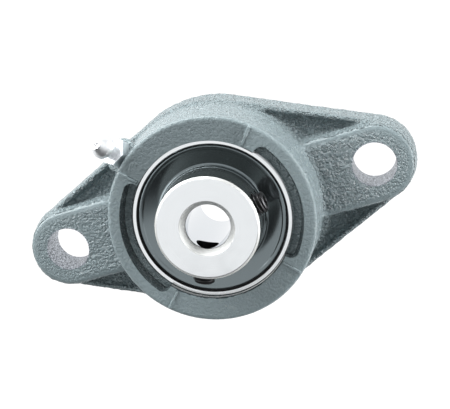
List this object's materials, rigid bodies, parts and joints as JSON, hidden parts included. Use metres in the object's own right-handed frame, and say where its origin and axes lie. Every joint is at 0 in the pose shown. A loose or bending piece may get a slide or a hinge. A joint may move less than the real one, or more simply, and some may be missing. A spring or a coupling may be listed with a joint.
{
  "type": "flange mount bearing",
  "caption": "Rhombic cast housing with bolt holes in its ears, holding a self-aligning ball bearing insert that carries a shaft locked by set screws.",
  "frame": {"origin": "centre of the mounting face, on the shaft axis", "axes": "+Z along the shaft axis, out of the front of the housing; +X through one of the bolt holes"},
  "size_m": [0.113, 0.0604, 0.0333],
  "materials": {
    "painted_casting": "blue-grey enamel over rough cast iron, with bare machined bolt holes and mounting face",
    "ring_steel": "ground bearing steel, satin faces and a bright bore",
    "ball_steel": "polished bearing steel",
    "cage_steel": "pressed steel sheet with an oil film",
    "rivet_steel": "upset rivet heads",
    "shield_steel": "stamped steel insert",
    "seal_rubber": "moulded black seal rubber",
    "dark_steel": "dark coated pressed steel with a semi-gloss sheen",
    "screw_steel": "black oxide steel",
    "plated_steel": "bright zinc plate",
    "spring_steel": "drawn spring wire"
  },
  "bodies": {
    "housing": {"housing": "painted_casting", "nipple_body": "plated_steel", "nipple_spring": "spring_steel"},
    "outer_ring": {"outer_ring": "ring_steel", "seal_shield_front": "shield_steel", "seal_shield_rear": "shield_steel", "seal_lip_front": "seal_rubber", "seal_lip_rear": "seal_rubber"},
    "inner_ring": {"inner_ring": "ring_steel", "flinger_front": "dark_steel", "flinger_rear": "dark_steel"},
    "cage": {"cage_front": "cage_steel", "cage_rear": "cage_steel", "cage_rivets": "rivet_steel"},
    "ball_1": {"ball_1": "ball_steel"},
    "ball_2": {"ball_2": "ball_steel"},
    "ball_3": {"ball_3": "ball_steel"},
    "ball_4": {"ball_4": "ball_steel"},
    "ball_5": {"ball_5": "ball_steel"},
    "ball_6": {"ball_6": "ball_steel"},
    "ball_7": {"ball_7": "ball_steel"},
    "ball_8": {"ball_8": "ball_steel"},
    "set_screw_1": {"set_screw_1": "screw_steel"},
    "set_screw_2": {"set_screw_2": "screw_steel"},
    "nipple_ball": {"nipple_ball": "ball_steel"}
  },
  "joints": [
    {"name": "insert_tilt", "type": "hinge", "parent": "housing", "child": "outer_ring", "pos_m": [0, 0, 0.015], "axis": [1, 0, 0], "range_deg": [-2, 2]},
    {"name": "shaft_spin", "type": "hinge", "parent": "outer_ring", "child": "inner_ring", "pos_m": [0, 0, 0.015], "axis": [0, 0, 1], "continuous": true},
    {"name": "cage_spin", "type": "hinge", "parent": "outer_ring", "child": "cage", "pos_m": [0, 0, 0.015], "axis": [0, 0, 1], "continuous": true},
    {"name": "ball_1_spin", "type": "hinge", "parent": "cage", "child": "ball_1", "pos_m": [0.01675, 0, 0.015], "axis": [0, 0, 1], "continuous": true},
    {"name": "ball_2_spin", "type": "hinge", "parent": "cage", "child": "ball_2", "pos_m": [0.01184, 0.01184, 0.015], "axis": [0, 0, 1], "continuous": true},
    {"name": "ball_3_spin", "type": "hinge", "parent": "cage", "child": "ball_3", "pos_m": [0, 0.01675, 0.015], "axis": [0, 0, 1], "continuous": true},
    {"name": "ball_4_spin", "type": "hinge", "parent": "cage", "child": "ball_4", "pos_m": [-0.01184, 0.01184, 0.015], "axis": [0, 0, 1], "continuous": true},
    {"name": "ball_5_spin", "type": "hinge", "parent": "cage", "child": "ball_5", "pos_m": [-0.01675, 0, 0.015], "axis": [0, 0, 1], "continuous": true},
    {"name": "ball_6_spin", "type": "hinge", "parent": "cage", "child": "ball_6", "pos_m": [-0.01184, -0.01184, 0.015], "axis": [0, 0, 1], "continuous": true},
    {"name": "ball_7_spin", "type": "hinge", "parent": "cage", "child": "ball_7", "pos_m": [0, -0.01675, 0.015], "axis": [0, 0, 1], "continuous": true},
    {"name": "ball_8_spin", "type": "hinge", "parent": "cage", "child": "ball_8", "pos_m": [0.01184, -0.01184, 0.015], "axis": [0, 0, 1], "continuous": true},
    {"name": "set_screw_1_travel", "type": "slide", "parent": "inner_ring", "child": "set_screw_1", "axis": [0.9925, 0.1219, 0], "range_m": [-0.0022, 0.001]},
    {"name": "set_screw_2_travel", "type": "slide", "parent": "inner_ring", "child": "set_screw_2", "axis": [-0.3907, -0.9205, 0], "range_m": [-0.0022, 0.001]},
    {"name": "nipple_ball_press", "type": "slide", "parent": "housing", "child": "nipple_ball", "axis": [0.3244, -0.5852, -0.7431], "range_m": [0, 0.0005], "stiffness_N_per_m": 200, "springref_m": -0.001, "deforming": ["nipple_spring"]}
  ],
  "couplings": [
    {"joint": "cage_spin", "follows": "shaft_spin", "ratio": 0.38152},
    {"joint": "ball_1_spin", "follows": "shaft_spin", "ratio": -1.9916},
    {"joint": "ball_2_spin", "follows": "shaft_spin", "ratio": -1.9916},
    {"joint": "ball_3_spin", "follows": "shaft_spin", "ratio": -1.9916},
    {"joint": "ball_4_spin", "follows": "shaft_spin", "ratio": -1.9916},
    {"joint": "ball_5_spin", "follows": "shaft_spin", "ratio": -1.9916},
    {"joint": "ball_6_spin", "follows": "shaft_spin", "ratio": -1.9916},
    {"joint": "ball_7_spin", "follows": "shaft_spin", "ratio": -1.9916},
    {"joint": "ball_8_spin", "follows": "shaft_spin", "ratio": -1.9916}
  ]
}
